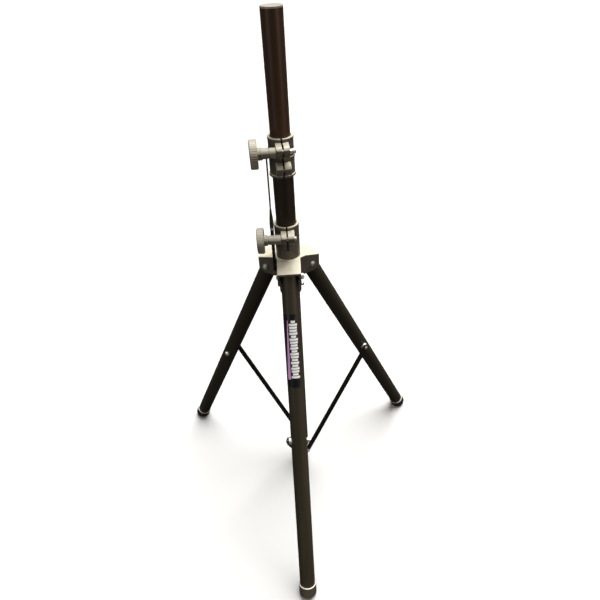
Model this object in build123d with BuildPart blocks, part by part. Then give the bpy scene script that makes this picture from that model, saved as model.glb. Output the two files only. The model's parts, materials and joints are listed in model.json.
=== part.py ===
"""Speaker tripod stand: a telescoping mast on three folding legs.

Millimetres. The origin lies on the floor under the mast's axis, +Z is up, and the
front leg points to -Y. The legs are spread and the pole is at its lowest.
"""

import os
from math import atan2, cos, degrees, hypot, pi, radians, sin, tan

from build123d import *

os.makedirs("parts", exist_ok=True)

# ---- driving dimensions -------------------------------------------------------

LEGS = {"front": -90, "right": 30, "left": 150}

# telescoping pole and the outer mast tube that it slides in
POLE_RADIUS = 17.5
POLE_WALL = 1.2
POLE_BOTTOM = 92
POLE_TOP = 1140
POLE_CAP_HEIGHT = 3
POLE_CAP_EDGE = 1.2
POLE_PLUG_DEPTH = 14
POLE_BUSH_BORE = 12
POLE_BUSH_LIP = 5
POLE_BUSH_GAP = 0.3
POLE_HOLE_RADIUS = 3.4
POLE_HOLE_TOP = 880
POLE_HOLE_PITCH = 100
POLE_HOLES = 5
POLE_MARK_HEIGHT = 957
POLE_MARK_DEPTH = 0.3
MAST_RADIUS = 19.05
MAST_WALL = 1.2
MAST_BOTTOM = 72
MAST_TOP = 918
RUNNING_GAP = 0.05

# legs: a straight tube from the hinge in the housing down to the rubber foot
LEG_RADIUS = 17.5
LEG_WALL = 1.2
LEG_SLOPE = 0.4764
HINGE = (41.6, 684.5)
LEG_OVERHANG = 5
LEG_PLUG_DEPTH = 28
FOOT_RADIUS = 20
FOOT_TOP = 34
FOOT_END = 5
FOOT_FLOOR = 9
FOOT_EDGE = 6
FOOT_RIM = 0.8

# hinge and brace bolts: round heads with a hexagon socket, plain nuts
BOLT_RADIUS = 3
BOLT_NUT_FLATS = 10
BOLT_NUT_HEIGHT = 4.8
BOLT_END = 1.5
WASHER_RADIUS = 8
SIDE_GAP = 0.3
HINGE_HEAD = {"radius": 5.8, "height": 3.6, "socket": 4}
BRACE_HEAD = {"radius": 4.8, "height": 2.4, "socket": 3.5}
HUB_HEAD = {"radius": 6.5, "height": 3.8, "socket": 4}
SCREW_HEAD = {"radius": 4, "height": 2.4, "socket": 2.5}
SOCKET_DEPTH = 1.8

# braces: flat links beside the legs, from the leg down to the hub under the mast
BRACE_PIVOT = (196, 360)
HUB_PIVOT = (4, 59)
BRACE_WIDTH = 15
BRACE_INNER_FACE = 21.9
BRACE_THICKNESS = 4
SPACER_RADIUS = 8.6
HUB_BOTTOM = 46
HUB_RADIUS = 21
HUB_EDGE = 2
HUB_SPIGOT_TOP = 84
BOSS_RADIUS = 8.5
BOSS_FACE = 21.5
PIN_DEPTH = 12
HUB_SCREW_RADIUS = 2
HUB_SCREW_HEIGHT = 78
HUB_SCREW_DEPTH = 10

# housing: a clamp sleeve with three open-bottomed arms that hold the leg tops
SLEEVE_TOP = 785
SLEEVE_RADIUS = 24
SLEEVE_BOTTOM = 621
SLEEVE_FOOT_RADIUS = 23
LINER_RADIUS = 20.3
CORE_RADIUS = 22.6
ARM_CREST = (27, 711.2)
ARM_END = 59.3
ARM_END_TOP = 702.8
ARM_END_BOTTOM = 675
ARM_FOOT = (46, 667.7)
ARM_ROOT_BOTTOM = 665.5
ARM_HALF_WIDTH = 23.5
ARM_WALL = 3.5
ARM_LIP_WALL = 2
ARM_LIP_BOTTOM = 697.5
ARM_ROOF = 3
ARM_EDGE = 2
ARM_CUT_BOTTOM = 600
ARM_CUT_END = 64.3
SLIT_END = 734
SLIT_HOLE_RADIUS = 2.2
SLEEVE_FILLET = 2.5

# clamps: a slit, two ears, a bolt across them and a round knob on its left end
SLIT_WIDTH = 3
CLAMP_REACH = 36
EAR_NOSE = 9
EAR_HALF_HEIGHT = 10.5
EAR_EDGE = 8
EAR_ROOT = 12
EAR_CHAMFER = 0.8
CLAMP_BOLT_RADIUS = 4
NUT_HEIGHT = 6
NUT_FLATS = 13
KNOB_RADIUS = 24.5
KNOB_THICKNESS = 13.5
KNOB_FLUTES = 36
KNOB_FLUTE_RADIUS = 1.6
KNOB_FLUTE_DEPTH = 0.3
KNOB_GROOVE = 0.7

LOWER_CLAMP = {"turn": 1.5, "height": 768, "ears": (-11.6, 13.8), "bolt_end": 17.5}
UPPER_CLAMP = {"turn": 5.5, "height": 936.5, "ears": (-11.5, 11.5), "bolt_end": 22}
LOWER_KNOB = {"back": -43.6, "neck": 10.5, "neck_length": 7, "shaft": 8, "spacer": 9,
              "spacer_length": 23.5}
UPPER_KNOB = {"back": -42.6, "neck": 10.5, "neck_length": 8, "shaft": 8.8, "spacer": 8.6,
              "spacer_length": 12}

# collar at the top of the mast tube
COLLAR_BOTTOM = 883.6
COLLAR_TOP = 953
COLLAR_BUSH_RADIUS = 18.6
COLLAR_PROFILE = ((24, 883.6), (24, 887), (22.6, 888.4), (22.6, 915), (23.5, 916), (23.5, 919.4),
                  (22.8, 920.2), (22.8, 925), (24.4, 926.4), (24.4, 929.6), (22.3, 931.4),
                  (22.3, 948.4), (23, 949.2), (23, 952.4), (22.4, 953))
FIXED_CLAMP_HEIGHT = 903
FIXED_CLAMP_REACH = 33
FIXED_EARS = 13
FIXED_EAR_NOSE = 7.5
FIXED_EAR_HALF_HEIGHT = 9.5
FIXED_HEAD_RADIUS = 5
FIXED_SEAT = 8
FIXED_SOCKET = 5

# tethered locking pin that hangs beside the mast
TETHER_AZIMUTH = 210
TETHER_TOP = (30, 930)
TETHER_MIDDLE = (30.4, 880)
TETHER_END = (31.3, 822)
PIN_TIP = (33.2, 683)
TETHER_RADIUS = 1.5
PIN_RADIUS = 3.175
PIN_GROOVES = (91, 125)
PIN_GROOVE_RADIUS = 2.5
TETHER_LUG_LENGTH = 17
TETHER_LUG_WIDTH = 8
TETHER_LUG_HEIGHT = 6.8
TETHER_LUG_PLACE = 26
KNOT_RADIUS = 3.6
GRIP_WIDE = 34
CRIMP_START = 39
CRIMP_END = 43
GRIP_END = 65

# sticker on the front leg
LABEL_START = 73
LABEL_LENGTH = 156
LABEL_THICKNESS = 0.3
LABEL_ARC = (233, 352)

# cable hook on the housing's lower sleeve
HOOK_AZIMUTH = -30
HOOK_HEIGHT = 648
HOOK_WIRE_RADIUS = 1.25
HOOK_SEAT_DEPTH = 8

LEG_ANGLE = atan2(LEG_SLOPE, 1)
LEG_TO_FLOOR = HINGE[1] / cos(LEG_ANGLE)
BRACE_LENGTH = hypot(BRACE_PIVOT[0] - HUB_PIVOT[0], BRACE_PIVOT[1] - HUB_PIVOT[1])


# ---- frames and helpers -------------------------------------------------------


def save(builder, name):
    """Label a finished piece and write it as one STEP file."""
    builder.part.label = name
    export_step(builder.part, f"parts/{name}.step")


def outward(azimuth):
    return Vector(cos(radians(azimuth)), sin(radians(azimuth)), 0)


def clockwise(azimuth):
    return Vector(sin(radians(azimuth)), -cos(radians(azimuth)), 0)


def side_plane(azimuth, shift=0):
    """Upright plane through the mast: x outward, y up, shifted clockwise."""
    return Plane(
        origin=clockwise(azimuth) * shift, x_dir=outward(azimuth), z_dir=clockwise(azimuth)
    )


def across(azimuth, spot, start):
    """Plane across a leg at a (radius, height) spot, its normal clockwise."""
    side = side_plane(azimuth)
    return Plane(
        origin=side.from_local_coords((spot[0], spot[1], start)),
        x_dir=outward(azimuth),
        z_dir=clockwise(azimuth),
    )


def leg_plane(azimuth, distance):
    """Plane across a leg's axis, a distance below the hinge; z runs down the leg."""
    down = outward(azimuth) * sin(LEG_ANGLE) - Vector(0, 0, cos(LEG_ANGLE))
    hinge = outward(azimuth) * HINGE[0] + Vector(0, 0, HINGE[1])
    return Plane(origin=hinge + down * distance, x_dir=clockwise(azimuth), z_dir=down)


def clamp_frame(turn, height, reach=CLAMP_REACH):
    """Upright plane on a clamp bolt: x along the bolt, y up, z to the front."""
    front = Vector(sin(radians(turn)), -cos(radians(turn)), 0)
    along = Vector(cos(radians(turn)), sin(radians(turn)), 0)
    return Plane(origin=front * reach + Vector(0, 0, height), x_dir=along, z_dir=front)


def bolt_plane(frame, x):
    """Plane across a clamp bolt at x; its normal runs along the bolt."""
    return Plane(origin=frame.origin + frame.x_dir * x, x_dir=frame.y_dir, z_dir=frame.x_dir)


def ear_plane(frame, x):
    """Plane across a clamp bolt at x: local x to the front, local y up."""
    return Plane(origin=frame.origin + frame.x_dir * x, x_dir=frame.z_dir, z_dir=-frame.x_dir)


def add_ears(frame, left, right, reach, half_height, nose):
    """Clamp ears from the sleeve's wall out past the bolt, as one block."""
    for start, direction, length, taper in (
        (right - EAR_CHAMFER, 1, right - left - 2 * EAR_CHAMFER, 0),
        (right - EAR_CHAMFER, -1, EAR_CHAMFER, 45),
        (left + EAR_CHAMFER, 1, EAR_CHAMFER, 45),
    ):
        with BuildSketch(ear_plane(frame, start)) as ear:
            with Locations(((nose - reach + EAR_ROOT) / 2, 0)):
                Rectangle(nose + reach - EAR_ROOT, 2 * half_height)
            fillet(ear.vertices().group_by(Axis.X)[-1], EAR_EDGE)
        extrude(ear.sketch, amount=direction * length, taper=taper)


def cut_slit(frame, bottom, top):
    """Cut the clamp's slit, from inside the bore out past the ears."""
    with BuildSketch(Plane(origin=(0, 0, bottom), x_dir=frame.x_dir, z_dir=(0, 0, 1))) as slit:
        with Locations((0, -CLAMP_REACH)):
            Rectangle(SLIT_WIDTH, 2 * (CLAMP_REACH - MAST_RADIUS + 6))
    extrude(slit.sketch, amount=top - bottom, mode=Mode.SUBTRACT)


def cut_bolt_hole(frame, radius, reach=40):
    with BuildSketch(bolt_plane(frame, -reach)) as hole:
        Circle(radius)
    extrude(hole.sketch, amount=2 * reach, mode=Mode.SUBTRACT)


def cut_nut_pocket(frame, face, flats, depth):
    with BuildSketch(bolt_plane(frame, face - depth)) as pocket:
        RegularPolygon(flats / 2 + 0.1, 6, major_radius=False)
    extrude(pocket.sketch, amount=depth + 1, mode=Mode.SUBTRACT)


def add_nut(plane, flats, height, bore):
    with BuildSketch(plane) as nut:
        RegularPolygon(flats / 2, 6, major_radius=False)
        Circle(bore, mode=Mode.SUBTRACT)
    extrude(nut.sketch, amount=height)


def add_ring(bottom, top, outer, inner):
    with BuildSketch(Plane.XY.offset(bottom)) as ring:
        Circle(outer)
        Circle(inner, mode=Mode.SUBTRACT)
    extrude(ring.sketch, amount=top - bottom)


def add_rod(plane, radius, length):
    with BuildSketch(plane) as section:
        Circle(radius)
    extrude(section.sketch, amount=length)


def add_head(plane, radius, height, socket):
    """Round bolt head on a plane: a short rim, a spherical cap and a hexagon socket."""
    rim = 0.3 * height
    ball = (radius**2 + (height - rim) ** 2) / (2 * (height - rim))
    with BuildSketch(Plane(origin=plane.origin, x_dir=plane.x_dir, z_dir=-plane.y_dir)) as head:
        with BuildLine():
            Polyline((0, height), (0, 0), (radius, 0), (radius, rim))
            RadiusArc((radius, rim), (0, height), -ball)
        make_face()
    revolve(head.sketch, axis=Axis(plane.origin, plane.z_dir))
    with BuildSketch(plane.offset(height - SOCKET_DEPTH)) as recess:
        RegularPolygon(socket / 2, 6, major_radius=False)
    extrude(recess.sketch, amount=SOCKET_DEPTH, mode=Mode.SUBTRACT)


def screw_plane(azimuth, radius):
    """Plane across a hub screw, a quarter turn anticlockwise of a leg."""
    out = outward(azimuth + 90)
    return Plane(origin=out * radius + Vector(0, 0, HUB_SCREW_HEIGHT), x_dir=(0, 0, 1), z_dir=out)


# ---- pole: inner tube, cap and guide bush -------------------------------------

with BuildPart() as pole_tube:
    add_ring(POLE_BOTTOM, POLE_TOP, POLE_RADIUS, POLE_RADIUS - POLE_WALL)
    for row in range(POLE_HOLES):
        hole_height = POLE_HOLE_TOP - row * POLE_HOLE_PITCH
        across_pole = Plane(
            origin=outward(TETHER_AZIMUTH) * -2 * POLE_RADIUS + Vector(0, 0, hole_height),
            x_dir=(0, 0, 1),
            z_dir=outward(TETHER_AZIMUTH),
        )
        with BuildSketch(across_pole):
            Circle(POLE_HOLE_RADIUS)
        extrude(amount=4 * POLE_RADIUS, mode=Mode.SUBTRACT)
    with BuildSketch(Plane.XY.offset(POLE_MARK_HEIGHT)):
        Circle(POLE_RADIUS + 1)
        Circle(POLE_RADIUS - POLE_MARK_DEPTH, mode=Mode.SUBTRACT)
    extrude(amount=1, mode=Mode.SUBTRACT)
save(pole_tube, "pole_tube")

with BuildPart() as pole_cap:
    with BuildSketch(Plane.XY.offset(POLE_TOP)):
        Circle(POLE_RADIUS)
    extrude(amount=POLE_CAP_HEIGHT)
    fillet(pole_cap.edges().group_by(Axis.Z)[-1], POLE_CAP_EDGE)
    add_rod(Plane.XY.offset(POLE_TOP - POLE_PLUG_DEPTH), POLE_RADIUS - POLE_WALL, POLE_PLUG_DEPTH)
save(pole_cap, "pole_cap")

with BuildPart() as pole_bush:
    add_ring(POLE_BOTTOM - POLE_BUSH_LIP, POLE_BOTTOM, POLE_RADIUS + POLE_BUSH_GAP, POLE_BUSH_BORE)
    add_ring(POLE_BOTTOM, POLE_BOTTOM + POLE_PLUG_DEPTH, POLE_RADIUS - POLE_WALL, POLE_BUSH_BORE)
save(pole_bush, "pole_bush")

# ---- mast: outer tube, and the brace hub plugged into its bottom --------------

with BuildPart() as mast_tube:
    add_ring(MAST_BOTTOM, MAST_TOP, MAST_RADIUS, MAST_RADIUS - MAST_WALL)
    for azimuth in LEGS.values():
        with BuildSketch(screw_plane(azimuth, 0)):
            Circle(HUB_SCREW_RADIUS)
        extrude(amount=2 * MAST_RADIUS, mode=Mode.SUBTRACT)
save(mast_tube, "mast_tube")

with BuildPart() as brace_hub:
    with BuildSketch(Plane.XZ):
        with BuildLine():
            Polyline((0, HUB_BOTTOM), (HUB_RADIUS - HUB_EDGE, HUB_BOTTOM),
                     (HUB_RADIUS, HUB_BOTTOM + HUB_EDGE), (HUB_RADIUS, MAST_BOTTOM),
                     (MAST_RADIUS - MAST_WALL, MAST_BOTTOM),
                     (MAST_RADIUS - MAST_WALL, HUB_SPIGOT_TOP), (0, HUB_SPIGOT_TOP), close=True)
        make_face()
    revolve(axis=Axis.Z)
    for azimuth in LEGS.values():
        add_rod(across(azimuth, HUB_PIVOT, 0), BOSS_RADIUS, BOSS_FACE)
    for azimuth in LEGS.values():
        with BuildSketch(across(azimuth, HUB_PIVOT, BOSS_FACE - PIN_DEPTH)):
            Circle(BOLT_RADIUS)
        extrude(amount=PIN_DEPTH, mode=Mode.SUBTRACT)
        with BuildSketch(screw_plane(azimuth, MAST_RADIUS - HUB_SCREW_DEPTH)):
            Circle(HUB_SCREW_RADIUS)
        extrude(amount=HUB_SCREW_DEPTH, mode=Mode.SUBTRACT)
save(brace_hub, "brace_hub")

with BuildPart() as hub_pins:
    for azimuth in LEGS.values():
        add_rod(across(azimuth, HUB_PIVOT, BOSS_FACE - PIN_DEPTH), BOLT_RADIUS, PIN_DEPTH)
save(hub_pins, "hub_pins")

with BuildPart() as hub_screws:
    for azimuth in LEGS.values():
        start = MAST_RADIUS - HUB_SCREW_DEPTH
        add_rod(screw_plane(azimuth, start), HUB_SCREW_RADIUS, HUB_SCREW_DEPTH)
        add_head(screw_plane(azimuth, MAST_RADIUS), **SCREW_HEAD)
save(hub_screws, "hub_screws")

# ---- collar: clamps the mast tube below and the sliding pole above ------------

upper = clamp_frame(UPPER_CLAMP["turn"], UPPER_CLAMP["height"])
fixed = clamp_frame(UPPER_CLAMP["turn"], FIXED_CLAMP_HEIGHT, FIXED_CLAMP_REACH)

with BuildPart() as upper_collar:
    with BuildSketch(Plane.XZ):
        with BuildLine():
            Polyline((MAST_RADIUS, COLLAR_BOTTOM), *COLLAR_PROFILE,
                     (COLLAR_BUSH_RADIUS, COLLAR_TOP), (COLLAR_BUSH_RADIUS, MAST_TOP),
                     (MAST_RADIUS, MAST_TOP), close=True)
        make_face()
    revolve(axis=Axis.Z)
    add_ears(upper, *UPPER_CLAMP["ears"], CLAMP_REACH, EAR_HALF_HEIGHT, EAR_NOSE)
    add_ears(fixed, -FIXED_EARS, FIXED_EARS, FIXED_CLAMP_REACH, FIXED_EAR_HALF_HEIGHT,
             FIXED_EAR_NOSE)
    with BuildSketch(Plane.XY.offset(TETHER_TOP[1] - TETHER_LUG_HEIGHT - 0.2)):
        with Locations(outward(TETHER_AZIMUTH) * TETHER_LUG_PLACE):
            SlotOverall(TETHER_LUG_LENGTH, TETHER_LUG_WIDTH, rotation=TETHER_AZIMUTH)
    extrude(amount=TETHER_LUG_HEIGHT)
    with BuildSketch(Plane.XY.offset(COLLAR_BOTTOM)):
        Circle(MAST_RADIUS)
    extrude(amount=MAST_TOP - COLLAR_BOTTOM, mode=Mode.SUBTRACT)
    with BuildSketch(Plane.XY.offset(MAST_TOP)):
        Circle(COLLAR_BUSH_RADIUS)
    extrude(amount=COLLAR_TOP - MAST_TOP, mode=Mode.SUBTRACT)
    with BuildSketch(Plane.XY.offset(TETHER_TOP[1] - 10)):
        with Locations(outward(TETHER_AZIMUTH) * TETHER_TOP[0]):
            Circle(TETHER_RADIUS + 0.3)
    extrude(amount=12, mode=Mode.SUBTRACT)
    cut_slit(upper, COLLAR_BOTTOM - 1, COLLAR_TOP + 1)
    cut_bolt_hole(upper, CLAMP_BOLT_RADIUS + RUNNING_GAP)
    cut_nut_pocket(upper, UPPER_CLAMP["ears"][1], NUT_FLATS, NUT_HEIGHT)
    cut_bolt_hole(fixed, BOLT_RADIUS)
    cut_nut_pocket(fixed, FIXED_EARS, BOLT_NUT_FLATS, FIXED_EARS - FIXED_SEAT)
    with BuildSketch(bolt_plane(fixed, -FIXED_SEAT)):
        Circle(FIXED_HEAD_RADIUS + 0.3)
    extrude(amount=FIXED_SEAT - FIXED_EARS - 1, mode=Mode.SUBTRACT)
save(upper_collar, "upper_collar")

with BuildPart() as collar_bush:
    add_ring(MAST_TOP, COLLAR_TOP - 0.5, COLLAR_BUSH_RADIUS, POLE_RADIUS + RUNNING_GAP)
    cut_slit(upper, MAST_TOP - 1, COLLAR_TOP + 1)
save(collar_bush, "collar_bush")

with BuildPart() as collar_bolt:
    head_face = 0.4 - FIXED_EARS
    add_rod(bolt_plane(fixed, -FIXED_SEAT), BOLT_RADIUS, FIXED_SEAT + FIXED_EARS - 0.4)
    add_rod(bolt_plane(fixed, head_face), FIXED_HEAD_RADIUS, -FIXED_SEAT - head_face)
    with BuildSketch(bolt_plane(fixed, head_face)):
        RegularPolygon(FIXED_SOCKET / 2, 6, major_radius=False)
    extrude(amount=SOCKET_DEPTH, mode=Mode.SUBTRACT)
save(collar_bolt, "collar_bolt")

with BuildPart() as collar_nut:
    add_nut(bolt_plane(fixed, FIXED_SEAT), BOLT_NUT_FLATS, BOLT_NUT_HEIGHT, BOLT_RADIUS)
save(collar_nut, "collar_nut")

with BuildPart() as upper_nut:
    nut_seat = bolt_plane(upper, UPPER_CLAMP["ears"][1] - NUT_HEIGHT)
    add_nut(nut_seat, NUT_FLATS, NUT_HEIGHT, CLAMP_BOLT_RADIUS + RUNNING_GAP)
save(upper_nut, "upper_nut")

# ---- tethered locking pin -----------------------------------------------------

tether_side = side_plane(TETHER_AZIMUTH)
turn_in = atan2(TETHER_MIDDLE[0] - TETHER_TOP[0], TETHER_TOP[1] - TETHER_MIDDLE[1])
turn_out = atan2(TETHER_END[0] - TETHER_MIDDLE[0], TETHER_MIDDLE[1] - TETHER_END[1])
tether_run = TETHER_TOP[1] - TETHER_MIDDLE[1]
TETHER_BEND = 0.45 * tether_run / tan(abs(turn_out - turn_in) / 2)
print("tether bend radius", round(TETHER_BEND))

with BuildPart() as tether_cord:
    with BuildLine(tether_side) as tether_path:
        FilletPolyline(TETHER_TOP, TETHER_MIDDLE, TETHER_END, radius=TETHER_BEND)
    tether_wire = tether_path.wires()[0]
    with BuildSketch(tether_wire ^ 0):
        Circle(TETHER_RADIUS)
    sweep()
tether_volume = pi * TETHER_RADIUS**2 * tether_wire.length
print("tether length", round(tether_wire.length, 1))
print("tether volume ratio", round(tether_cord.part.volume / tether_volume, 4))
save(tether_cord, "tether_cord")

with BuildPart() as tether_knot:
    knot_middle = (TETHER_TOP[0], TETHER_TOP[1] + KNOT_RADIUS - 0.2, 0)
    with Locations(tether_side.from_local_coords(knot_middle)):
        Sphere(KNOT_RADIUS)
    split(bisect_by=Plane.XY.offset(TETHER_TOP[1]), keep=Keep.TOP)
save(tether_knot, "tether_knot")

# the grip, its crimp and the pin share one axis, from the cord's end to the pin's tip
pin_axis = tether_side.from_local_coords((*PIN_TIP, 0)) - tether_side.from_local_coords(
    (*TETHER_END, 0)
)
pin_side = Plane(
    origin=tether_side.from_local_coords((*TETHER_END, 0)),
    x_dir=pin_axis,
    z_dir=clockwise(TETHER_AZIMUTH),
)
pin_spin = Axis(pin_side.origin, pin_axis)
PIN_END = pin_axis.length

with BuildPart() as pin_grip:
    with BuildSketch(pin_side):
        with BuildLine():
            Polyline((0, 0), (0, 1.9), (6, 2.1))
            Spline((6, 2.1), (20, 3.4), (GRIP_WIDE, 3.9))
            Polyline((GRIP_WIDE, 3.9), (CRIMP_START, 3.6), (CRIMP_START, 0), (0, 0))
        make_face()
    revolve(axis=pin_spin)
    with BuildSketch(pin_side):
        with BuildLine():
            Polyline((CRIMP_END, 0), (CRIMP_END, 3.4), (GRIP_END - 1, 3.4),
                     (GRIP_END, 2.8), (GRIP_END, 0), close=True)
        make_face()
    revolve(axis=pin_spin)
save(pin_grip, "pin_grip")

with BuildPart() as pin_crimp:
    with BuildSketch(pin_side):
        with BuildLine():
            Polyline((CRIMP_START, 0), (CRIMP_START, 3.6), (CRIMP_START + 0.6, 3.8),
                     (CRIMP_END - 0.6, 3.8), (CRIMP_END, 3.6), (CRIMP_END, 0), close=True)
        make_face()
    revolve(axis=pin_spin)
save(pin_crimp, "pin_crimp")

with BuildPart() as locking_pin:
    with BuildSketch(pin_side):
        with BuildLine():
            grooves = [
                (groove + shift, radius)
                for groove in PIN_GROOVES
                for shift, radius in ((-1, PIN_RADIUS), (0, PIN_GROOVE_RADIUS),
                                      (2, PIN_GROOVE_RADIUS), (3, PIN_RADIUS))
            ]
            Polyline((GRIP_END, 0), (GRIP_END, PIN_RADIUS), *grooves, (PIN_END - 3, PIN_RADIUS),
                     (PIN_END, 1.4), (PIN_END, 0), close=True)
        make_face()
    revolve(axis=pin_spin)
save(locking_pin, "locking_pin")

# ---- leg housing --------------------------------------------------------------

lower = clamp_frame(LOWER_CLAMP["turn"], LOWER_CLAMP["height"])
arms = []
for azimuth in LEGS.values():
    with BuildPart() as arm:
        with BuildSketch(side_plane(azimuth, -ARM_HALF_WIDTH)):
            with BuildLine():
                Polyline((0, ARM_CREST[1]), ARM_CREST, (ARM_END, ARM_END_TOP),
                         (ARM_END, ARM_END_BOTTOM), ARM_FOOT, (0, ARM_ROOT_BOTTOM), close=True)
            make_face()
        extrude(amount=2 * ARM_HALF_WIDTH)
        arm_edges = arm.edges().filter_by(lambda e: e.center().Z > ARM_END_BOTTOM)
        arm_edges = arm_edges.filter_by(lambda e: e.center().dot(outward(azimuth)) > 1)
        fillet(arm_edges.filter_by(
            lambda e: abs(e.center().dot(outward(azimuth)) - ARM_CREST[0]) > 1), ARM_EDGE)
    arms.append(arm.part)

with BuildPart() as leg_housing:
    for arm_block in arms:
        add(arm_block)
    for azimuth in LEGS.values():
        slope = (ARM_CREST[1] - ARM_END_TOP) / (ARM_END - ARM_CREST[0])
        roof_inner = ARM_CREST[1] - ARM_ROOF + 0.6
        roof_outer = roof_inner - slope * (ARM_END - ARM_LIP_WALL - ARM_CREST[0])
        with BuildSketch(side_plane(azimuth, ARM_WALL - ARM_HALF_WIDTH)):
            with BuildLine():
                Polyline((CORE_RADIUS, ARM_CUT_BOTTOM), (CORE_RADIUS, roof_inner - 1.5),
                         (ARM_CREST[0], roof_inner), (ARM_END - ARM_LIP_WALL, roof_outer),
                         (ARM_END - ARM_LIP_WALL, ARM_LIP_BOTTOM), (ARM_CUT_END, ARM_LIP_BOTTOM),
                         (ARM_CUT_END, ARM_CUT_BOTTOM), close=True)
            make_face()
        extrude(amount=2 * (ARM_HALF_WIDTH - ARM_WALL), mode=Mode.SUBTRACT)
    with BuildSketch(Plane.XZ):
        with BuildLine():
            foot = (SLEEVE_RADIUS + SLEEVE_FILLET, ARM_CREST[1])
            Polyline(foot, (foot[0], foot[1] - 0.4), (SLEEVE_RADIUS, foot[1] - ARM_ROOF),
                     (CORE_RADIUS, foot[1] - ARM_ROOF - 1), (CORE_RADIUS, ARM_ROOT_BOTTOM + 2.5),
                     (SLEEVE_RADIUS - 0.2, ARM_ROOT_BOTTOM + 1),
                     (SLEEVE_FOOT_RADIUS, SLEEVE_BOTTOM + 1),
                     (SLEEVE_FOOT_RADIUS - 1, SLEEVE_BOTTOM), (LINER_RADIUS - 1, SLEEVE_BOTTOM),
                     (LINER_RADIUS - 1, SLEEVE_TOP), (SLEEVE_RADIUS, SLEEVE_TOP),
                     (SLEEVE_RADIUS + 0.6, SLEEVE_TOP - 0.6),
                     (SLEEVE_RADIUS + 0.6, SLEEVE_TOP - 4), (SLEEVE_RADIUS, SLEEVE_TOP - 5),
                     (SLEEVE_RADIUS, foot[1] + SLEEVE_FILLET))
            ThreePointArc((SLEEVE_RADIUS, foot[1] + SLEEVE_FILLET),
                          (foot[0] - SLEEVE_FILLET * cos(pi / 4),
                           foot[1] + SLEEVE_FILLET * (1 - sin(pi / 4))), foot)
        make_face()
    revolve(axis=Axis.Z)
    add_ears(lower, *LOWER_CLAMP["ears"], CLAMP_REACH, EAR_HALF_HEIGHT, EAR_NOSE)
    with BuildSketch(Plane.XY.offset(SLEEVE_BOTTOM - 1)):
        Circle(LINER_RADIUS)
    extrude(amount=SLEEVE_TOP - SLEEVE_BOTTOM + 2, mode=Mode.SUBTRACT)
    cut_slit(lower, SLIT_END, SLEEVE_TOP + 1)
    slit_hole = Plane(origin=(0, 0, SLIT_END - 1), x_dir=lower.x_dir, z_dir=lower.z_dir)
    with BuildSketch(slit_hole):
        Circle(SLIT_HOLE_RADIUS)
    extrude(amount=CLAMP_REACH, mode=Mode.SUBTRACT)
    cut_bolt_hole(lower, CLAMP_BOLT_RADIUS + RUNNING_GAP)
    cut_nut_pocket(lower, LOWER_CLAMP["ears"][1], NUT_FLATS, NUT_HEIGHT)
    for azimuth in LEGS.values():
        with BuildSketch(across(azimuth, HINGE, -ARM_HALF_WIDTH - 1)):
            Circle(BOLT_RADIUS)
        extrude(amount=2 * ARM_HALF_WIDTH + 2, mode=Mode.SUBTRACT)
    hook_seat = Plane(
        origin=outward(HOOK_AZIMUTH) * LINER_RADIUS + Vector(0, 0, HOOK_HEIGHT),
        x_dir=(0, 0, 1),
        z_dir=outward(HOOK_AZIMUTH),
    )
    with BuildSketch(hook_seat):
        Circle(HOOK_WIRE_RADIUS)
    extrude(amount=HOOK_SEAT_DEPTH, mode=Mode.SUBTRACT)
save(leg_housing, "leg_housing")

with BuildPart() as housing_liner:
    add_ring(SLEEVE_BOTTOM + 1, SLEEVE_TOP - 1, LINER_RADIUS, MAST_RADIUS + 2 * RUNNING_GAP)
    cut_slit(lower, SLIT_END + 6, SLEEVE_TOP + 1)
save(housing_liner, "housing_liner")

with BuildPart() as housing_nut:
    nut_seat = bolt_plane(lower, LOWER_CLAMP["ears"][1] - NUT_HEIGHT)
    add_nut(nut_seat, NUT_FLATS, NUT_HEIGHT, CLAMP_BOLT_RADIUS + RUNNING_GAP)
save(housing_nut, "housing_nut")

with BuildPart() as hinge_bolts:
    for azimuth in LEGS.values():
        bolt_start = -ARM_HALF_WIDTH - BOLT_NUT_HEIGHT - BOLT_END
        bolt_length = ARM_HALF_WIDTH - bolt_start
        add_rod(across(azimuth, HINGE, bolt_start), BOLT_RADIUS, bolt_length)
        add_head(across(azimuth, HINGE, ARM_HALF_WIDTH), **HINGE_HEAD)
save(hinge_bolts, "hinge_bolts")

with BuildPart() as hinge_nuts:
    for azimuth in LEGS.values():
        nut_seat = across(azimuth, HINGE, -ARM_HALF_WIDTH - BOLT_NUT_HEIGHT)
        add_nut(nut_seat, BOLT_NUT_FLATS, BOLT_NUT_HEIGHT, BOLT_RADIUS)
save(hinge_nuts, "hinge_nuts")

hook_side = side_plane(HOOK_AZIMUTH)
with BuildPart() as cable_hook:
    with BuildLine(hook_side) as hook_path:
        hook_stem = Line((LINER_RADIUS, HOOK_HEIGHT), (24.6, HOOK_HEIGHT))
        hook_drop = RadiusArc(hook_stem @ 1, (26.6, HOOK_HEIGHT - 2), 2)
        hook_bow = RadiusArc(hook_drop @ 1, (31.6, HOOK_HEIGHT - 2), -2.5)
        Line(hook_bow @ 1, (31.6, HOOK_HEIGHT + 0.5))
    with BuildSketch(hook_path.wires()[0] ^ 0):
        Circle(HOOK_WIRE_RADIUS)
    sweep()
save(cable_hook, "cable_hook")

# ---- clamp knobs --------------------------------------------------------------


def grooved(start, end, radius):
    """Outline of a round stem with a shallow groove round its middle."""
    middle = (start + end) / 2
    return [(start, radius), (middle - KNOB_GROOVE, radius), (middle, radius - KNOB_GROOVE),
            (middle + KNOB_GROOVE, radius), (end - 0.8, radius), (end, radius - 0.8)]


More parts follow.
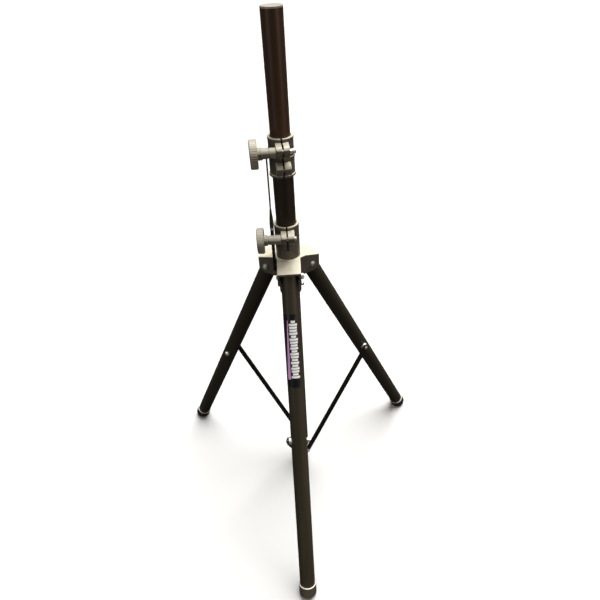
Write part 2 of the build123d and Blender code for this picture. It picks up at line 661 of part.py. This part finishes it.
def make_knob(name, clamp, knob):
    """Round fluted knob, the spacer on its bolt and the bolt itself."""
    frame = clamp_frame(clamp["turn"], clamp["height"])
    spin = Axis(frame.origin, frame.x_dir)
    back = knob["back"]
    face = back - KNOB_THICKNESS
    neck_end = back + knob["neck_length"]
    spacer_end = clamp["ears"][0] - SIDE_GAP
    spacer_start = spacer_end - knob["spacer_length"]
    with BuildPart() as body:
        with BuildSketch(frame):
            with BuildLine():
                Polyline((face + 3, 0), (face + 3, 9), (face + 1, 12), (face, 13.5),
                         (face, KNOB_RADIUS - 3))
                ThreePointArc((face, KNOB_RADIUS - 3), (face + 0.9, KNOB_RADIUS - 0.9),
                              (face + 3, KNOB_RADIUS))
                Line((face + 3, KNOB_RADIUS), (back - 2, KNOB_RADIUS))
                ThreePointArc((back - 2, KNOB_RADIUS), (back - 0.6, KNOB_RADIUS - 0.6),
                              (back, KNOB_RADIUS - 2))
                Polyline((back, KNOB_RADIUS - 2), *grooved(back, neck_end, knob["neck"]),
                         (neck_end, knob["shaft"]), (spacer_start, knob["shaft"]),
                         (spacer_start, 0), (face + 3, 0))
            make_face()
        revolve(axis=spin)
        with BuildSketch(bolt_plane(frame, face - 1)):
            with PolarLocations(KNOB_RADIUS + KNOB_FLUTE_RADIUS - KNOB_FLUTE_DEPTH, KNOB_FLUTES):
                Circle(KNOB_FLUTE_RADIUS)
        extrude(amount=KNOB_THICKNESS + 2, mode=Mode.SUBTRACT)
        with BuildSketch(bolt_plane(frame, face + 6)):
            Circle(CLAMP_BOLT_RADIUS)
        extrude(amount=-face, mode=Mode.SUBTRACT)
    save(body, f"{name}_knob")
    with BuildPart() as spacer:
        with BuildSketch(frame):
            with BuildLine():
                Polyline((spacer_start, CLAMP_BOLT_RADIUS), (spacer_start, knob["spacer"] - 0.8),
                         (spacer_start + 0.8, knob["spacer"]), (spacer_end - 0.8, knob["spacer"]),
                         (spacer_end, knob["spacer"] - 0.8), (spacer_end, CLAMP_BOLT_RADIUS),
                         close=True)
            make_face()
        revolve(axis=spin)
    save(spacer, f"{name}_knob_spacer")
    with BuildPart() as bolt:
        add_rod(bolt_plane(frame, face + 6), CLAMP_BOLT_RADIUS, clamp["bolt_end"] - face - 6)
        chamfer(bolt.edges().sort_by(Axis.X)[-1], 1)
    save(bolt, f"{name}_knob_bolt")


make_knob("lower", LOWER_CLAMP, LOWER_KNOB)
make_knob("upper", UPPER_CLAMP, UPPER_KNOB)

# ---- legs and braces ----------------------------------------------------------

brace_outer_face = BRACE_INNER_FACE + BRACE_THICKNESS
brace_angle = degrees(atan2(BRACE_PIVOT[1] - HUB_PIVOT[1], BRACE_PIVOT[0] - HUB_PIVOT[0]))
brace_distance = hypot(BRACE_PIVOT[0] - HINGE[0], HINGE[1] - BRACE_PIVOT[1])
brace_middle = ((BRACE_PIVOT[0] + HUB_PIVOT[0]) / 2, (BRACE_PIVOT[1] + HUB_PIVOT[1]) / 2)

for leg, azimuth in LEGS.items():
    with BuildPart() as leg_tube:
        with BuildSketch(leg_plane(azimuth, -LEG_OVERHANG)):
            Circle(LEG_RADIUS)
            Circle(LEG_RADIUS - LEG_WALL, mode=Mode.SUBTRACT)
        extrude(amount=LEG_OVERHANG + LEG_TO_FLOOR - FOOT_END - FOOT_FLOOR)
        for spot in (HINGE, BRACE_PIVOT):
            with BuildSketch(across(azimuth, spot, -LEG_RADIUS - 1)):
                Circle(BOLT_RADIUS + (SIDE_GAP if spot == HINGE else 0))
            extrude(amount=2 * LEG_RADIUS + 2, mode=Mode.SUBTRACT)
    save(leg_tube, f"leg_{leg}")

    with BuildPart() as leg_plug:
        plug_length = LEG_OVERHANG + LEG_PLUG_DEPTH
        add_rod(leg_plane(azimuth, -LEG_OVERHANG), LEG_RADIUS - LEG_WALL, plug_length)
        with BuildSketch(across(azimuth, HINGE, -LEG_RADIUS - 1)):
            Circle(BOLT_RADIUS + RUNNING_GAP)
        extrude(amount=2 * LEG_RADIUS + 2, mode=Mode.SUBTRACT)
    save(leg_plug, f"leg_plug_{leg}")

    with BuildPart() as washers:
        for start in (LEG_RADIUS, ARM_WALL - ARM_HALF_WIDTH + SIDE_GAP):
            with BuildSketch(across(azimuth, HINGE, start)):
                Circle(WASHER_RADIUS)
                Circle(BOLT_RADIUS + SIDE_GAP, mode=Mode.SUBTRACT)
            extrude(amount=ARM_HALF_WIDTH - ARM_WALL - SIDE_GAP - LEG_RADIUS)
    save(washers, f"hinge_washers_{leg}")

    with BuildPart() as foot:
        cap_length = FOOT_TOP - FOOT_END
        add_rod(leg_plane(azimuth, LEG_TO_FLOOR - FOOT_TOP), FOOT_RADIUS, cap_length)
        fillet(foot.edges().group_by(Axis.Z)[0], FOOT_EDGE)
        fillet(foot.edges().group_by(Axis.Z)[-1], FOOT_RIM)
        with BuildSketch(leg_plane(azimuth, LEG_TO_FLOOR - FOOT_TOP)):
            Circle(LEG_RADIUS)
        extrude(amount=cap_length - FOOT_FLOOR, mode=Mode.SUBTRACT)
        split(bisect_by=Plane.XY, keep=Keep.TOP)
    save(foot, f"foot_{leg}")

    with BuildPart() as brace_spacer:
        with BuildSketch(across(azimuth, BRACE_PIVOT, 0)):
            Circle(SPACER_RADIUS)
            Circle(BOLT_RADIUS, mode=Mode.SUBTRACT)
        extrude(amount=BRACE_INNER_FACE - SIDE_GAP)
        with BuildSketch(leg_plane(azimuth, brace_distance - 2 * SPACER_RADIUS)):
            Circle(LEG_RADIUS)
        extrude(amount=4 * SPACER_RADIUS, mode=Mode.SUBTRACT)
    save(brace_spacer, f"brace_spacer_{leg}")

    with BuildPart() as brace_bolt:
        bolt_start = -LEG_RADIUS - BOLT_NUT_HEIGHT - BOLT_END
        bolt_length = brace_outer_face + SIDE_GAP - bolt_start
        add_rod(across(azimuth, BRACE_PIVOT, bolt_start), BOLT_RADIUS, bolt_length)
        add_head(across(azimuth, BRACE_PIVOT, brace_outer_face + SIDE_GAP), **BRACE_HEAD)
    save(brace_bolt, f"brace_bolt_{leg}")

    with BuildPart() as brace_nut:
        nut_seat = across(azimuth, BRACE_PIVOT, -LEG_RADIUS - BOLT_NUT_HEIGHT)
        add_nut(nut_seat, BOLT_NUT_FLATS, BOLT_NUT_HEIGHT, BOLT_RADIUS)
    save(brace_nut, f"brace_nut_{leg}")

    with BuildPart() as brace:
        with BuildSketch(side_plane(azimuth, BRACE_INNER_FACE)):
            with Locations(brace_middle):
                SlotCenterToCenter(BRACE_LENGTH, BRACE_WIDTH, rotation=brace_angle)
            with Locations(BRACE_PIVOT):
                Circle(BOLT_RADIUS + RUNNING_GAP, mode=Mode.SUBTRACT)
            with Locations(HUB_PIVOT):
                Circle(BOLT_RADIUS, mode=Mode.SUBTRACT)
        extrude(amount=BRACE_THICKNESS)
    save(brace, f"brace_{leg}")

    with BuildPart() as brace_pin:
        add_rod(across(azimuth, HUB_PIVOT, BRACE_INNER_FACE), BOLT_RADIUS, BRACE_THICKNESS)
        add_head(across(azimuth, HUB_PIVOT, brace_outer_face), **HUB_HEAD)
    save(brace_pin, f"brace_pin_{leg}")

# ---- sticker on the front leg -------------------------------------------------

with BuildPart() as leg_label:
    with BuildSketch(leg_plane(LEGS["front"], LABEL_START)):
        Circle(LEG_RADIUS + LABEL_THICKNESS)
        Circle(LEG_RADIUS, mode=Mode.SUBTRACT)
        wedge = [(0, 0)] + [(40 * cos(radians(a)), 40 * sin(radians(a))) for a in
                            (LABEL_ARC[0], sum(LABEL_ARC) / 2, LABEL_ARC[1])]
        Polygon(*wedge, align=None, mode=Mode.INTERSECT)
    extrude(amount=LABEL_LENGTH)
save(leg_label, "leg_label")
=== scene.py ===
"""Looks of the speaker tripod stand: materials, sticker, tether cord, floor, light and camera."""

import json
from math import atan2, cos, radians, sin

import bmesh
import bpy
from mathutils import Matrix, Vector


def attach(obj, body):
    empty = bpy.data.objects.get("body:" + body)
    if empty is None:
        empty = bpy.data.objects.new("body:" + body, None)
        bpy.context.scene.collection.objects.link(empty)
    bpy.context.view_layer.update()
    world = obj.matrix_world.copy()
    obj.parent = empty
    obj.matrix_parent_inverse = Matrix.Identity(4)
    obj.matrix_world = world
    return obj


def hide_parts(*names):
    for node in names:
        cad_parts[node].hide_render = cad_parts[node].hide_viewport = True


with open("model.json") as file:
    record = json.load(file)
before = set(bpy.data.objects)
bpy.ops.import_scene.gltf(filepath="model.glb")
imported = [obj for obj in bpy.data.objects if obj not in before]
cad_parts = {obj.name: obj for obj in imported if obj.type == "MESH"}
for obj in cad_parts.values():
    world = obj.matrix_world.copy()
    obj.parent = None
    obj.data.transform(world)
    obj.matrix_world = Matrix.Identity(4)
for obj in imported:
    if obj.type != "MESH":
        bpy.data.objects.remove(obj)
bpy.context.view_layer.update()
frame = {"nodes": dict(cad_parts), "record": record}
nodes = frame["nodes"]

MM = 0.001


# ---- camera -------------------------------------------------------------------

CAMERA_PLACE = Vector((0.0198, -0.8123, 1.2384))
CAMERA_PITCH = radians(-38.56)
CAMERA_HEADING = radians(-0.11)
CAMERA_ROLL = radians(-3.18)
FOCAL_SHARE = 477.1 / 600
SENSOR = 36


def make_camera():
    """Camera above head height, looking down at the stand from the front."""
    ahead = Vector((sin(CAMERA_HEADING) * cos(CAMERA_PITCH),
                    cos(CAMERA_HEADING) * cos(CAMERA_PITCH), sin(CAMERA_PITCH)))
    level = ahead.cross(Vector((0, 0, 1))).normalized()
    upright = level.cross(ahead)
    right = cos(CAMERA_ROLL) * level + sin(CAMERA_ROLL) * upright
    up = -sin(CAMERA_ROLL) * level + cos(CAMERA_ROLL) * upright
    data = bpy.data.cameras.new("camera")
    data.sensor_width = SENSOR
    data.lens = SENSOR * FOCAL_SHARE
    data.clip_start = 0.01
    camera = bpy.data.objects.new("camera", data)
    camera.matrix_world = Matrix.Translation(CAMERA_PLACE) @ Matrix(
        (right, up, -ahead)).transposed().to_4x4()
    bpy.context.scene.collection.objects.link(camera)
    bpy.context.scene.camera = camera


make_camera()


# ---- tether cord --------------------------------------------------------------

TETHER_AZIMUTH = radians(210)
TETHER_ROUTE = ((30, 930), (30.4, 880), (31.3, 822))
TETHER_DIAMETER = 3 * MM


def on_tether_side(radius, height):
    """Point in the upright plane where the tether hangs, from millimetres to metres."""
    return Vector((radius * cos(TETHER_AZIMUTH), radius * sin(TETHER_AZIMUTH), height)) * MM


def make_tether(material):
    """The tether as a smooth curve of its real length, in place of the CAD cord."""
    curve = bpy.data.curves.new("tether", "CURVE")
    curve.dimensions = "3D"
    curve.bevel_depth = TETHER_DIAMETER / 2
    curve.bevel_resolution = 6
    curve.resolution_u = 24
    curve.use_fill_caps = True
    spline = curve.splines.new("NURBS")
    spline.points.add(len(TETHER_ROUTE) - 1)
    for point, spot in zip(spline.points, TETHER_ROUTE):
        point.co = (*on_tether_side(*spot), 1)
    spline.order_u = 3
    spline.use_endpoint_u = True
    curve.materials.append(material)
    tether = bpy.data.objects.new("tether", curve)
    bpy.context.scene.collection.objects.link(tether)
    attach(tether, "mast")
    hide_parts("tether_cord")


# ---- materials ----------------------------------------------------------------


def new_material(name):
    """A node material, its tree and its main shader."""
    material = bpy.data.materials.new(name)
    material.use_nodes = True
    tree = material.node_tree
    return material, tree, tree.nodes["Principled BSDF"]


def link(tree, out_node, out_socket, in_node, in_socket):
    """Join one node's output to another node's input."""
    tree.links.new(out_node.outputs[out_socket], in_node.inputs[in_socket])


def noise(tree, scale, detail=4, roughness=0.5, stretch=(1, 1, 1), turn=(0, 0, 0)):
    """Object-space noise, turned and stretched along an axis where asked."""
    place = tree.nodes.new("ShaderNodeTexCoord")
    mapping = tree.nodes.new("ShaderNodeMapping")
    mapping.vector_type = "TEXTURE"
    mapping.inputs["Rotation"].default_value = turn
    mapping.inputs["Scale"].default_value = stretch
    texture = tree.nodes.new("ShaderNodeTexNoise")
    texture.inputs["Scale"].default_value = scale
    texture.inputs["Detail"].default_value = detail
    texture.inputs["Roughness"].default_value = roughness
    link(tree, place, "Object", mapping, "Vector")
    link(tree, mapping, "Vector", texture, "Vector")
    return texture


def ramp(tree, source, socket, stops):
    """Colour ramp: stops are (position, colour)."""
    node = tree.nodes.new("ShaderNodeValToRGB")
    while len(node.color_ramp.elements) < len(stops):
        node.color_ramp.elements.new(0.5)
    for element, (position, colour) in zip(node.color_ramp.elements, stops):
        element.position = position
        element.color = (*colour, 1)
    link(tree, source, socket, node, "Fac")
    return node


def blend(tree, mask, first, second):
    """Colour mix by a mask ramp."""
    node = tree.nodes.new("ShaderNodeMix")
    node.data_type = "RGBA"
    tree.links.new(mask.outputs["Color"], node.inputs[0])
    tree.links.new(first, node.inputs[6])
    tree.links.new(second, node.inputs[7])
    return node.outputs[2]


def bumped(tree, shader, source, strength, depth):
    """Fine relief on a shader, from a noise."""
    relief = tree.nodes.new("ShaderNodeBump")
    relief.inputs["Strength"].default_value = strength
    relief.inputs["Distance"].default_value = depth
    link(tree, source, "Fac", relief, "Height")
    link(tree, relief, "Normal", shader, "Normal")


# Painted light by the normal's upward part: the first set lights rims and tops, the second only
# faces that point well up.
RIM_AND_TOP_PAINTED_LIGHT = ((0.2, 0), (0.38, 0.95), (0.86, 0.95), (0.97, 0.78))
TOP_PAINTED_LIGHT = ((0.7, 0), (0.88, 0.95))


def moulded(name, dark, light, roughness, grain=900, bump=0.15, spec=0.5, painted_top_light=None, top_light_stops=RIM_AND_TOP_PAINTED_LIGHT):
    """Moulded surface: mottled colour, uneven gloss, a fine bump and painted top light, a lighter
    colour where it faces up.

    The last argument holds (upward part of the normal, share of painted top light) pairs.
    """
    material, tree, shader = new_material(name)
    colour = ramp(tree, noise(tree, 38, 5, 0.6), "Fac", ((0.3, dark), (0.72, light)))
    colour = colour.outputs["Color"]
    # Painted top light: upward-facing faces blend towards a light mottled colour in place of
    # overhead light.
    if painted_top_light:
        place = tree.nodes.new("ShaderNodeTexCoord")
        split = tree.nodes.new("ShaderNodeSeparateXYZ")
        link(tree, place, "Normal", split, "Vector")
        mask = ramp(tree, split, "Z", [(upward, (share,) * 3) for upward, share in top_light_stops])
        painted_top_tone = ramp(tree, noise(tree, 70, 4, 0.65), "Fac",
                      ((0.3, tuple(0.8 * c for c in painted_top_light)), (0.7, painted_top_light)))
        colour = blend(tree, mask, colour, painted_top_tone.outputs["Color"])
    tree.links.new(colour, shader.inputs["Base Color"])
    gloss = ramp(tree, noise(tree, 120, 3), "Fac",
                 ((0.3, (roughness - 0.06,) * 3), (0.7, (roughness + 0.08,) * 3)))
    link(tree, gloss, "Color", shader, "Roughness")
    bumped(tree, shader, noise(tree, grain, 2), bump, 0.0004)
    shader.inputs["Specular IOR Level"].default_value = spec
    return material


def painted_tube(name, dark, light, scuff, roughness, spec, turn=(0, 0, 0)):
    """Painted tube: streaks along its axis, sparse light scuffs and an uneven sheen."""
    material, tree, shader = new_material(name)
    streaks = ramp(tree, noise(tree, 90, 4, 0.6, (1, 1, 26), turn), "Fac",
                   ((0.32, dark), (0.7, light)))
    wear = ramp(tree, noise(tree, 160, 5, 0.7, (1, 1, 5), turn), "Fac",
                ((0.66, (0, 0, 0)), (0.74, (0.55, 0.55, 0.55))))
    worn = tree.nodes.new("ShaderNodeRGB")
    worn.outputs[0].default_value = (*scuff, 1)
    tree.links.new(blend(tree, wear, streaks.outputs["Color"], worn.outputs[0]),
                   shader.inputs["Base Color"])
    gloss = ramp(tree, noise(tree, 60, 3, 0.5, (1, 1, 12), turn), "Fac",
                 ((0.3, (roughness - 0.05,) * 3), (0.7, (roughness + 0.08,) * 3)))
    link(tree, gloss, "Color", shader, "Roughness")
    bumped(tree, shader, noise(tree, 1400, 2), 0.06, 0.0003)
    shader.inputs["Specular IOR Level"].default_value = spec
    return material


def metal(name, colour, roughness):
    """Plated steel: slightly uneven tone and gloss."""
    material, tree, shader = new_material(name)
    dull = tuple(0.72 * c for c in colour)
    tone = ramp(tree, noise(tree, 260, 4), "Fac", ((0.3, dull), (0.7, colour)))
    link(tree, tone, "Color", shader, "Base Color")
    gloss = ramp(tree, noise(tree, 500, 3), "Fac",
                 ((0.3, (roughness - 0.06,) * 3), (0.7, (roughness + 0.1,) * 3)))
    link(tree, gloss, "Color", shader, "Roughness")
    shader.inputs["Metallic"].default_value = 1
    return material


LEG_SLOPE = 0.4764
LEG_TILT = atan2(LEG_SLOPE, 1)
# Painted light: the front leg's paint is a lighter copy, for the light falling on it.
FRONT_LEG_PAINTED_LIGHT = 1.35
# Painted top light colour for the upward faces of the rubber feet.
FOOT_PAINTED_TOP_LIGHT = (0.7, 0.66, 0.58)
LEG_DARK = (0.018, 0.0145, 0.0085)
LEG_LIGHT = (0.032, 0.026, 0.016)
LEGS = {"leg_front": -90, "leg_right": 30, "leg_left": 150}
LOOKS = {
    # Casting and knob: the last colour is painted top light on their upward faces.
    "casting": moulded("casting", (0.076, 0.067, 0.052), (0.112, 0.099, 0.079), 0.42, 700, 0.2,
                       0.45, (0.66, 0.61, 0.48)),
    "knob": moulded("knob", (0.11, 0.098, 0.076), (0.25, 0.226, 0.18), 0.45, 520, 0.4, 0.5,
                    (0.46, 0.425, 0.34)),
    "zinc_steel": metal("zinc_steel", (0.82, 0.80, 0.73), 0.5),
    "black_steel": moulded("black_steel", (0.006, 0.0055, 0.004), (0.011, 0.0095, 0.007), 0.45,
                           spec=0.25),
    "nylon": moulded("nylon", (0.01, 0.01, 0.01), (0.02, 0.02, 0.02), 0.5),
    "pole_cap": moulded("pole_cap", (0.22, 0.20, 0.165), (0.36, 0.33, 0.28), 0.5),
    "rubber": moulded("rubber", (0.02, 0.018, 0.014), (0.04, 0.035, 0.028), 0.55, spec=0.35,
                      painted_top_light=FOOT_PAINTED_TOP_LIGHT, top_light_stops=TOP_PAINTED_LIGHT),
    "cord": moulded("cord", (0.006, 0.006, 0.005), (0.014, 0.014, 0.012), 0.6, spec=0.3),
    "label": moulded("label", (0.006, 0.006, 0.007), (0.01, 0.01, 0.011), 0.32, bump=0.03,
                     spec=0.3),
}
OWN_LOOKS = {
    "pole_tube": painted_tube("pole_paint", (0.034, 0.0165, 0.0075), (0.068, 0.033, 0.015),
                              (0.10, 0.075, 0.055), 0.4, 0.3),
    "mast_tube": painted_tube("mast_paint", (0.015, 0.010, 0.005), (0.027, 0.017, 0.0085),
                              (0.08, 0.06, 0.045), 0.42, 0.3),
}
for leg_node, azimuth in LEGS.items():
    # The front leg takes the lighter, painted-light copy of the paint.
    painted_light = FRONT_LEG_PAINTED_LIGHT if leg_node == "leg_front" else 1
    OWN_LOOKS[leg_node] = painted_tube(
        leg_node + "_paint", tuple(painted_light * c for c in LEG_DARK),
        tuple(painted_light * c for c in LEG_LIGHT), (0.11, 0.095, 0.07), 0.45, 0.3,
        (0, -LEG_TILT, radians(azimuth)))
# Painted light: the front foot is a lighter copy of the rubber, also with painted top light.
OWN_LOOKS["foot_front"] = moulded("front_rubber_painted_light", (0.052, 0.042, 0.028), (0.088, 0.072, 0.05), 0.5,
                              spec=0.35, painted_top_light=FOOT_PAINTED_TOP_LIGHT, top_light_stops=TOP_PAINTED_LIGHT)

for part in frame["record"]["subparts"]:
    mesh = nodes[part["node"]].data
    mesh.materials.clear()
    mesh.materials.append(OWN_LOOKS.get(part["node"]) or LOOKS[part["material_slot"]])

make_tether(LOOKS["cord"])


# ---- sticker on the front leg: a tapered stripe and a row of level bars -----------

LEG_RADIUS = 17.5
LEG_HINGE = Vector((0, -41.6, 684.5))
LEG_DOWN = Vector((0, -sin(LEG_TILT), -cos(LEG_TILT)))
LEG_SIDE = Vector((-1, 0, 0))
LEG_BACK = LEG_DOWN.cross(LEG_SIDE)
INK_INNER = LEG_RADIUS + 0.32
INK_OUTER = LEG_RADIUS + 0.44


def on_leg(distance, angle, radius):
    """Point round the front leg: millimetres below the hinge and degrees round the axis."""
    turn = radians(angle)
    around = cos(turn) * LEG_SIDE + sin(turn) * LEG_BACK
    return (LEG_HINGE + distance * LEG_DOWN + radius * around) * MM


def add_patch(shape, rows, steps):
    """Closed thin patch wrapped on the leg; rows are (distance, first angle, last angle)."""
    layers = []
    for radius in (INK_INNER, INK_OUTER):
        layers.append([[shape.verts.new(on_leg(distance, first + (last - first) * i / steps, radius))
                        for i in range(steps + 1)] for distance, first, last in rows])
    inner, outer = layers
    for j in range(len(rows) - 1):
        for i in range(steps):
            shape.faces.new((outer[j][i], outer[j][i + 1], outer[j + 1][i + 1], outer[j + 1][i]))
            shape.faces.new((inner[j][i], inner[j + 1][i], inner[j + 1][i + 1], inner[j][i + 1]))
    for j in range(len(rows) - 1):
        for i, flip in ((0, False), (steps, True)):
            wall = (outer[j][i], outer[j + 1][i], inner[j + 1][i], inner[j][i])
            shape.faces.new(wall[::-1] if flip else wall)
    for j, flip in ((0, True), (len(rows) - 1, False)):
        for i in range(steps):
            wall = (outer[j][i], outer[j][i + 1], inner[j][i + 1], inner[j][i])
            shape.faces.new(wall[::-1] if flip else wall)


def make_print(name, patches, material, steps):
    """One printed piece on the sticker, made of wrapped patches."""
    mesh = bpy.data.meshes.new(name)
    shape = bmesh.new()
    for rows in patches:
        add_patch(shape, rows, steps)
    bmesh.ops.recalc_face_normals(shape, faces=shape.faces[:])
    shape.to_mesh(mesh)
    shape.free()
    mesh.materials.append(material)
    piece = bpy.data.objects.new(name, mesh)
    bpy.context.scene.collection.objects.link(piece)
    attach(piece, "leg_front")


BARS = 20
BAR_START = 86
BAR_PITCH = 6.2
BAR_WIDTH = 4.8
BAR_MIDDLE = 265


def level_bars():
    """Bars of uneven length along the sticker, like a level meter."""
    bars = []
    for i in range(BARS):
        start = BAR_START + BAR_PITCH * i
        reach = 14 + 12 * abs(sin(1.9 * i)) + 4 * abs(sin(0.7 * i))
        bars.append([(spot, BAR_MIDDLE - reach, BAR_MIDDLE + reach)
                     for spot in (start, start + BAR_WIDTH)])
    return bars


STRIPE_START = 86
STRIPE_LENGTH = 126
STRIPE_EDGE = 300
STRIPE_NARROW = 304
STRIPE_GROWTH = 22
STRIPE_ROWS = 12
STRIPE_STEPS = 8
BAR_STEPS = 6
STRIPE = [(STRIPE_START + STRIPE_LENGTH * k / STRIPE_ROWS, STRIPE_EDGE,
           STRIPE_NARROW + STRIPE_GROWTH * (k / STRIPE_ROWS)) for k in range(STRIPE_ROWS + 1)]
make_print("label_stripe", [STRIPE],
           moulded("violet_ink", (0.74, 0.36, 0.77), (0.9, 0.46, 0.92), 0.35, bump=0.02, spec=0.3),
           STRIPE_STEPS)
make_print("label_bars", level_bars(),
           moulded("white_ink", (0.82, 0.82, 0.82), (0.95, 0.95, 0.95), 0.35, bump=0.02, spec=0.3),
           BAR_STEPS)


# ---- floor, light -------------------------------------------------------------

FLOOR_REACH = 60
FLOOR_DARK = 0.03
FLOOR_PALE = 0.49
WORLD_SIDE = 0.03
WORLD_TOP = 0.4
WORLD_WHITE = 0.97


def make_floor():
    """Pale floor for the camera; other rays meet a dark one, for deep tones on the stand."""
    mesh = bpy.data.meshes.new("floor")
    shape = bmesh.new()
    bmesh.ops.create_grid(shape, x_segments=2, y_segments=2, size=FLOOR_REACH)
    shape.to_mesh(mesh)
    shape.free()
    floor = bpy.data.objects.new("floor", mesh)
    bpy.context.scene.collection.objects.link(floor)
    material, tree, shader = new_material("floor")
    seen = tree.nodes.new("ShaderNodeLightPath")
    tone = ramp(tree, seen, "Is Camera Ray", ((0, (FLOOR_DARK,) * 3), (1, (FLOOR_PALE,) * 3)))
    link(tree, tone, "Color", shader, "Base Color")
    shader.inputs["Roughness"].default_value = 1
    shader.inputs["Specular IOR Level"].default_value = 0
    mesh.materials.append(material)


def make_light(name, place, aim, width, height, power, colour):
    """A rectangular soft box aimed at a point."""
    data = bpy.data.lights.new(name, "AREA")
    data.shape = "RECTANGLE"
    data.size = width
    data.size_y = height
    data.energy = power
    data.color = colour
    light = bpy.data.objects.new(name, data)
    light.location = place
    light.rotation_euler = (Vector(aim) - Vector(place)).to_track_quat("-Z", "Y").to_euler()
    bpy.context.scene.collection.objects.link(light)


def make_sun(from_where, strength, spread, colour):
    """A wide soft sun from above."""
    data = bpy.data.lights.new("sun", "SUN")
    data.energy = strength
    data.angle = radians(spread)
    data.color = colour
    sun = bpy.data.objects.new("sun", data)
    sun.rotation_euler = (-Vector(from_where)).to_track_quat("-Z", "Y").to_euler()
    bpy.context.scene.collection.objects.link(sun)


def make_world():
    """White behind the floor for the camera; dim sides and a brighter top for the stand."""
    world = bpy.data.worlds.new("world")
    world.use_nodes = True
    tree = world.node_tree
    back = tree.nodes["Background"]
    place = tree.nodes.new("ShaderNodeTexCoord")
    split = tree.nodes.new("ShaderNodeSeparateXYZ")
    link(tree, place, "Generated", split, "Vector")
    sky = ramp(tree, split, "Z", ((0.2, (WORLD_SIDE,) * 3), (0.9, (WORLD_TOP,) * 3)))
    seen = tree.nodes.new("ShaderNodeLightPath")
    mask = ramp(tree, seen, "Is Camera Ray", ((0, (0, 0, 0)), (1, (1, 1, 1))))
    white = tree.nodes.new("ShaderNodeRGB")
    white.outputs[0].default_value = (WORLD_WHITE, WORLD_WHITE, WORLD_WHITE, 1)
    tree.links.new(blend(tree, mask, sky.outputs["Color"], white.outputs[0]),
                   back.inputs["Color"])
    bpy.context.scene.world = world


make_floor()
make_world()
make_sun((0.25, 0.35, 1), 7.2, 50, (1, 0.99, 0.965))
make_light("left_box", (-1.7, -1.5, 1.3), (0, 0, 0.75), 0.5, 1.8, 9, (1, 0.96, 0.86))
make_light("right_box", (1.8, -1.3, 1.2), (0, 0, 0.75), 0.5, 1.8, 11, (1, 0.84, 0.72))
bpy.context.scene.view_settings.view_transform = "Standard"
